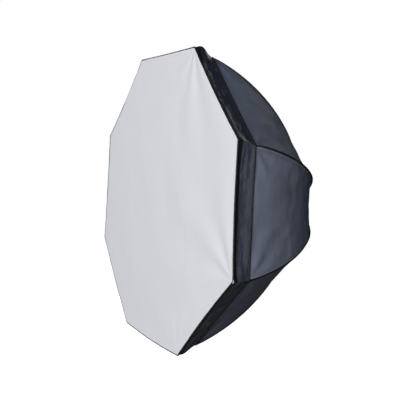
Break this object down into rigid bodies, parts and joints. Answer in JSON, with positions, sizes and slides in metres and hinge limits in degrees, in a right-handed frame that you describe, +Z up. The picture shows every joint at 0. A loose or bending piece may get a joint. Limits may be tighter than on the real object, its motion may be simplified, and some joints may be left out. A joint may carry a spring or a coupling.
{
  "type": "octagonal studio softbox",
  "caption": "Octagonal umbrella-type studio softbox: folding curved ribs on a shaft, dark panelled canopy, flared black rim and flat white diffuser.",
  "frame": {"origin": "on the shaft's axis, in the middle of the bare stretch near its front end where a bracket clamps it", "axes": "-Y is the way the diffuser faces, along the shaft; +Z is up; +X completes the right-handed frame"},
  "size_m": [0.7392, 0.4493, 0.7392],
  "materials": {
    "canopy_cloth": "coated nylon, soft sheen",
    "rim_cloth": "black nylon, satin",
    "diffuser_cloth": "matte translucent white nylon",
    "hook_and_loop": "woven black tape",
    "zip_tape": "woven black tape",
    "rib_steel": "black satin",
    "fitting_plastic": "satin",
    "shaft_steel": "brushed",
    "zip_metal": "satin black",
    "button_plastic": "gloss grey",
    "rubber": "matte",
    "hub_plastic": "satin"
  },
  "bodies": {
    "root": {"shaft": "shaft_steel", "shaft_end_plug": "rubber", "crown_hub": "hub_plastic", "crown_wire": "shaft_steel", "apex_washer": "rubber", "apex_patch": "rim_cloth", "apex_cap": "hub_plastic", "runner_stop_front": "shaft_steel", "runner_stop_rear": "shaft_steel"},
    "runner": {"runner": "hub_plastic"},
    "latch_button": {"latch_button": "button_plastic"},
    "rib_1": {"rib_rod_1": "rib_steel", "rib_fittings_1": "fitting_plastic"},
    "rib_2": {"rib_rod_2": "rib_steel", "rib_fittings_2": "fitting_plastic"},
    "rib_3": {"rib_rod_3": "rib_steel", "rib_fittings_3": "fitting_plastic"},
    "rib_4": {"rib_rod_4": "rib_steel", "rib_fittings_4": "fitting_plastic"},
    "rib_5": {"rib_rod_5": "rib_steel", "rib_fittings_5": "fitting_plastic"},
    "rib_6": {"rib_rod_6": "rib_steel", "rib_fittings_6": "fitting_plastic"},
    "rib_7": {"rib_rod_7": "rib_steel", "rib_fittings_7": "fitting_plastic"},
    "rib_8": {"rib_rod_8": "rib_steel", "rib_fittings_8": "fitting_plastic"},
    "stretcher_1": {"stretcher_1": "rib_steel"},
    "stretcher_2": {"stretcher_2": "rib_steel"},
    "stretcher_3": {"stretcher_3": "rib_steel"},
    "stretcher_4": {"stretcher_4": "rib_steel"},
    "stretcher_5": {"stretcher_5": "rib_steel"},
    "stretcher_6": {"stretcher_6": "rib_steel"},
    "stretcher_7": {"stretcher_7": "rib_steel"},
    "stretcher_8": {"stretcher_8": "rib_steel"},
    "gore_body_1": {"gore_1": "canopy_cloth"},
    "gore_body_2": {"gore_2": "canopy_cloth"},
    "gore_body_3": {"gore_3": "canopy_cloth"},
    "gore_body_4": {"gore_4": "canopy_cloth"},
    "gore_body_5": {"gore_5": "canopy_cloth"},
    "gore_body_6": {"gore_6": "canopy_cloth", "zip_tape": "zip_tape"},
    "gore_body_7": {"gore_7": "canopy_cloth"},
    "gore_body_8": {"gore_8": "canopy_cloth"},
    "skirt_body_1": {"skirt_1": "rim_cloth"},
    "skirt_body_2": {"skirt_2": "rim_cloth"},
    "skirt_body_3": {"skirt_3": "rim_cloth"},
    "skirt_body_4": {"skirt_4": "rim_cloth"},
    "skirt_body_5": {"skirt_5": "rim_cloth"},
    "skirt_body_6": {"skirt_6": "rim_cloth"},
    "skirt_body_7": {"skirt_7": "rim_cloth"},
    "skirt_body_8": {"skirt_8": "rim_cloth"},
    "diffuser_body": {"diffuser": "diffuser_cloth", "diffuser_hem": "hook_and_loop"},
    "zip_slider_body": {"zip_slider": "zip_metal"},
    "zip_pull_body": {"zip_pull": "zip_metal"}
  },
  "joints": [
    {"name": "runner_slide", "type": "slide", "parent": "root", "child": "runner", "axis": [0, -1, 0], "range_m": [0, 0.071]},
    {"name": "latch_press", "type": "slide", "parent": "runner", "child": "latch_button", "axis": [0, 0, -1], "range_m": [0, 0.002], "stiffness_N_per_m": 1500, "springref_m": -0.001},
    {"name": "rib_fold_1", "type": "hinge", "parent": "root", "child": "rib_1", "pos_m": [0.01109, 0.351, 0.00459], "axis": [0.3827, 0, -0.9239], "range_deg": [-0.1, 40.88]},
    {"name": "rib_fold_2", "type": "hinge", "parent": "root", "child": "rib_2", "pos_m": [0.00459, 0.351, 0.01109], "axis": [0.9239, 0, -0.3827], "range_deg": [-0.1, 40.88]},
    {"name": "rib_fold_3", "type": "hinge", "parent": "root", "child": "rib_3", "pos_m": [-0.00459, 0.351, 0.01109], "axis": [0.9239, 0, 0.3827], "range_deg": [-0.1, 40.88]},
    {"name": "rib_fold_4", "type": "hinge", "parent": "root", "child": "rib_4", "pos_m": [-0.01109, 0.351, 0.00459], "axis": [0.3827, 0, 0.9239], "range_deg": [-0.1, 40.88]},
    {"name": "rib_fold_5", "type": "hinge", "parent": "root", "child": "rib_5", "pos_m": [-0.01109, 0.351, -0.00459], "axis": [-0.3827, 0, 0.9239], "range_deg": [-0.1, 40.88]},
    {"name": "rib_fold_6", "type": "hinge", "parent": "root", "child": "rib_6", "pos_m": [-0.00459, 0.351, -0.01109], "axis": [-0.9239, 0, 0.3827], "range_deg": [-0.1, 40.88]},
    {"name": "rib_fold_7", "type": "hinge", "parent": "root", "child": "rib_7", "pos_m": [0.00459, 0.351, -0.01109], "axis": [-0.9239, 0, -0.3827], "range_deg": [-0.1, 40.88]},
    {"name": "rib_fold_8", "type": "hinge", "parent": "root", "child": "rib_8", "pos_m": [0.01109, 0.351, -0.00459], "axis": [-0.3827, 0, -0.9239], "range_deg": [-0.1, 40.88]},
    {"name": "stretcher_fold_1", "type": "hinge", "parent": "rib_1", "child": "stretcher_1", "pos_m": [0.09851, 0.31482, 0.0408], "axis": [-0.3827, 0, 0.9239], "range_deg": [-0.1, 55.27]},
    {"name": "stretcher_fold_2", "type": "hinge", "parent": "rib_2", "child": "stretcher_2", "pos_m": [0.0408, 0.31482, 0.09851], "axis": [-0.9239, 0, 0.3827], "range_deg": [-0.1, 55.27]},
    {"name": "stretcher_fold_3", "type": "hinge", "parent": "rib_3", "child": "stretcher_3", "pos_m": [-0.0408, 0.31482, 0.09851], "axis": [-0.9239, 0, -0.3827], "range_deg": [-0.1, 55.27]},
    {"name": "stretcher_fold_4", "type": "hinge", "parent": "rib_4", "child": "stretcher_4", "pos_m": [-0.09851, 0.31482, 0.0408], "axis": [-0.3827, 0, -0.9239], "range_deg": [-0.1, 55.27]},
    {"name": "stretcher_fold_5", "type": "hinge", "parent": "rib_5", "child": "stretcher_5", "pos_m": [-0.09851, 0.31482, -0.0408], "axis": [0.3827, 0, -0.9239], "range_deg": [-0.1, 55.27]},
    {"name": "stretcher_fold_6", "type": "hinge", "parent": "rib_6", "child": "stretcher_6", "pos_m": [-0.0408, 0.31482, -0.09851], "axis": [0.9239, 0, -0.3827], "range_deg": [-0.1, 55.27]},
    {"name": "stretcher_fold_7", "type": "hinge", "parent": "rib_7", "child": "stretcher_7", "pos_m": [0.0408, 0.31482, -0.09851], "axis": [0.9239, 0, 0.3827], "range_deg": [-0.1, 55.27]},
    {"name": "stretcher_fold_8", "type": "hinge", "parent": "rib_8", "child": "stretcher_8", "pos_m": [0.09851, 0.31482, -0.0408], "axis": [0.3827, 0, 0.9239], "range_deg": [-0.1, 55.27]},
    {"name": "gore_fold_1", "type": "hinge", "parent": "rib_1", "child": "gore_body_1", "pos_m": [0.00918, 0.351, 0.00918], "axis": [0.0408, 0.1545, 0.9872], "range_deg": [-0.1, 20.72], "deforming": ["gore_1"]},
    {"name": "gore_fold_2", "type": "hinge", "parent": "rib_2", "child": "gore_body_2", "pos_m": [0, 0.351, 0.01299], "axis": [-0.6692, 0.1545, 0.7268], "range_deg": [-0.1, 20.72], "deforming": ["gore_2"]},
    {"name": "gore_fold_3", "type": "hinge", "parent": "rib_3", "child": "gore_body_3", "pos_m": [-0.00918, 0.351, 0.00918], "axis": [-0.9872, 0.1545, 0.0408], "range_deg": [-0.1, 20.72], "deforming": ["gore_3"]},
    {"name": "gore_fold_4", "type": "hinge", "parent": "rib_4", "child": "gore_body_4", "pos_m": [-0.01299, 0.351, 0], "axis": [-0.7268, 0.1545, -0.6692], "range_deg": [-0.1, 20.72], "deforming": ["gore_4"]},
    {"name": "gore_fold_5", "type": "hinge", "parent": "rib_5", "child": "gore_body_5", "pos_m": [-0.00918, 0.351, -0.00918], "axis": [-0.0408, 0.1545, -0.9872], "range_deg": [-0.1, 20.72], "deforming": ["gore_5"]},
    {"name": "gore_fold_6", "type": "hinge", "parent": "rib_6", "child": "gore_body_6", "pos_m": [0, 0.351, -0.01299], "axis": [0.6692, 0.1545, -0.7268], "range_deg": [-0.1, 20.72], "deforming": ["gore_6", "zip_tape"]},
    {"name": "gore_fold_7", "type": "hinge", "parent": "rib_7", "child": "gore_body_7", "pos_m": [0.00918, 0.351, -0.00918], "axis": [0.9872, 0.1545, -0.0408], "range_deg": [-0.1, 20.72], "deforming": ["gore_7"]},
    {"name": "gore_fold_8", "type": "hinge", "parent": "rib_8", "child": "gore_body_8", "pos_m": [0.01299, 0.351, 0], "axis": [0.7268, 0.1545, 0.6692], "range_deg": [-0.1, 20.72], "deforming": ["gore_8"]},
    {"name": "skirt_fold_1", "type": "hinge", "parent": "rib_2", "child": "skirt_body_1", "pos_m": [0.00918, 0.351, 0.00918], "axis": [-0.9872, -0.1545, -0.0408], "range_deg": [-0.1, 20.72], "deforming": ["skirt_1"]},
    {"name": "skirt_fold_2", "type": "hinge", "parent": "rib_3", "child": "skirt_body_2", "pos_m": [0, 0.351, 0.01299], "axis": [-0.6692, -0.1545, -0.7268], "range_deg": [-0.1, 20.72], "deforming": ["skirt_2"]},
    {"name": "skirt_fold_3", "type": "hinge", "parent": "rib_4", "child": "skirt_body_3", "pos_m": [-0.00918, 0.351, 0.00918], "axis": [0.0408, -0.1545, -0.9872], "range_deg": [-0.1, 20.72], "deforming": ["skirt_3"]},
    {"name": "skirt_fold_4", "type": "hinge", "parent": "rib_5", "child": "skirt_body_4", "pos_m": [-0.01299, 0.351, 0], "axis": [0.7268, -0.1545, -0.6692], "range_deg": [-0.1, 20.72], "deforming": ["skirt_4"]},
    {"name": "skirt_fold_5", "type": "hinge", "parent": "rib_6", "child": "skirt_body_5", "pos_m": [-0.00918, 0.351, -0.00918], "axis": [0.9872, -0.1545, 0.0408], "range_deg": [-0.1, 20.72], "deforming": ["skirt_5"]},
    {"name": "skirt_fold_6", "type": "hinge", "parent": "rib_7", "child": "skirt_body_6", "pos_m": [0, 0.351, -0.01299], "axis": [0.6692, -0.1545, 0.7268], "range_deg": [-0.1, 20.72], "deforming": ["skirt_6"]},
    {"name": "skirt_fold_7", "type": "hinge", "parent": "rib_8", "child": "skirt_body_7", "pos_m": [0.00918, 0.351, -0.00918], "axis": [-0.0408, -0.1545, 0.9872], "range_deg": [-0.1, 20.72], "deforming": ["skirt_7"]},
    {"name": "skirt_fold_8", "type": "hinge", "parent": "rib_1", "child": "skirt_body_8", "pos_m": [0.01299, 0.351, 0], "axis": [-0.7268, -0.1545, 0.6692], "range_deg": [-0.1, 20.72], "deforming": ["skirt_8"]},
    {"name": "diffuser_fold", "type": "slide", "parent": "root", "child": "diffuser_body", "axis": [0, -1, 0], "range_m": [-0.0001, 0.11523], "deforming": ["diffuser", "diffuser_hem"]},
    {"name": "zip_run", "type": "hinge", "parent": "gore_body_6", "child": "zip_slider_body", "pos_m": [0, -0.20714, 0.30252], "axis": [1, 0, 0], "range_deg": [-3.37, 17.14]},
    {"name": "zip_pull_swing", "type": "hinge", "parent": "zip_slider_body", "child": "zip_pull_body", "pos_m": [0, 0.05458, -0.33284], "axis": [1, 0, 0], "range_deg": [0, 160]}
  ],
  "couplings": [
    {"joint": "rib_fold_1", "follows": "runner_slide", "rad_per_m": 10.03},
    {"joint": "rib_fold_2", "follows": "runner_slide", "rad_per_m": 10.03},
    {"joint": "rib_fold_3", "follows": "runner_slide", "rad_per_m": 10.03},
    {"joint": "rib_fold_4", "follows": "runner_slide", "rad_per_m": 10.03},
    {"joint": "rib_fold_5", "follows": "runner_slide", "rad_per_m": 10.03},
    {"joint": "rib_fold_6", "follows": "runner_slide", "rad_per_m": 10.03},
    {"joint": "rib_fold_7", "follows": "runner_slide", "rad_per_m": 10.03},
    {"joint": "rib_fold_8", "follows": "runner_slide", "rad_per_m": 10.03},
    {"joint": "stretcher_fold_1", "follows": "runner_slide", "rad_per_m": 13.558},
    {"joint": "stretcher_fold_2", "follows": "runner_slide", "rad_per_m": 13.558},
    {"joint": "stretcher_fold_3", "follows": "runner_slide", "rad_per_m": 13.558},
    {"joint": "stretcher_fold_4", "follows": "runner_slide", "rad_per_m": 13.558},
    {"joint": "stretcher_fold_5", "follows": "runner_slide", "rad_per_m": 13.558},
    {"joint": "stretcher_fold_6", "follows": "runner_slide", "rad_per_m": 13.558},
    {"joint": "stretcher_fold_7", "follows": "runner_slide", "rad_per_m": 13.558},
    {"joint": "stretcher_fold_8", "follows": "runner_slide", "rad_per_m": 13.558},
    {"joint": "gore_fold_1", "follows": "runner_slide", "rad_per_m": 5.0844},
    {"joint": "gore_fold_2", "follows": "runner_slide", "rad_per_m": 5.0844},
    {"joint": "gore_fold_3", "follows": "runner_slide", "rad_per_m": 5.0844},
    {"joint": "gore_fold_4", "follows": "runner_slide", "rad_per_m": 5.0844},
    {"joint": "gore_fold_5", "follows": "runner_slide", "rad_per_m": 5.0844},
    {"joint": "gore_fold_6", "follows": "runner_slide", "rad_per_m": 5.0844},
    {"joint": "gore_fold_7", "follows": "runner_slide", "rad_per_m": 5.0844},
    {"joint": "gore_fold_8", "follows": "runner_slide", "rad_per_m": 5.0844},
    {"joint": "skirt_fold_1", "follows": "runner_slide", "rad_per_m": 5.0844},
    {"joint": "skirt_fold_2", "follows": "runner_slide", "rad_per_m": 5.0844},
    {"joint": "skirt_fold_3", "follows": "runner_slide", "rad_per_m": 5.0844},
    {"joint": "skirt_fold_4", "follows": "runner_slide", "rad_per_m": 5.0844},
    {"joint": "skirt_fold_5", "follows": "runner_slide", "rad_per_m": 5.0844},
    {"joint": "skirt_fold_6", "follows": "runner_slide", "rad_per_m": 5.0844},
    {"joint": "skirt_fold_7", "follows": "runner_slide", "rad_per_m": 5.0844},
    {"joint": "skirt_fold_8", "follows": "runner_slide", "rad_per_m": 5.0844},
    {"joint": "diffuser_fold", "follows": "runner_slide", "ratio": 1.6197}
  ]
}
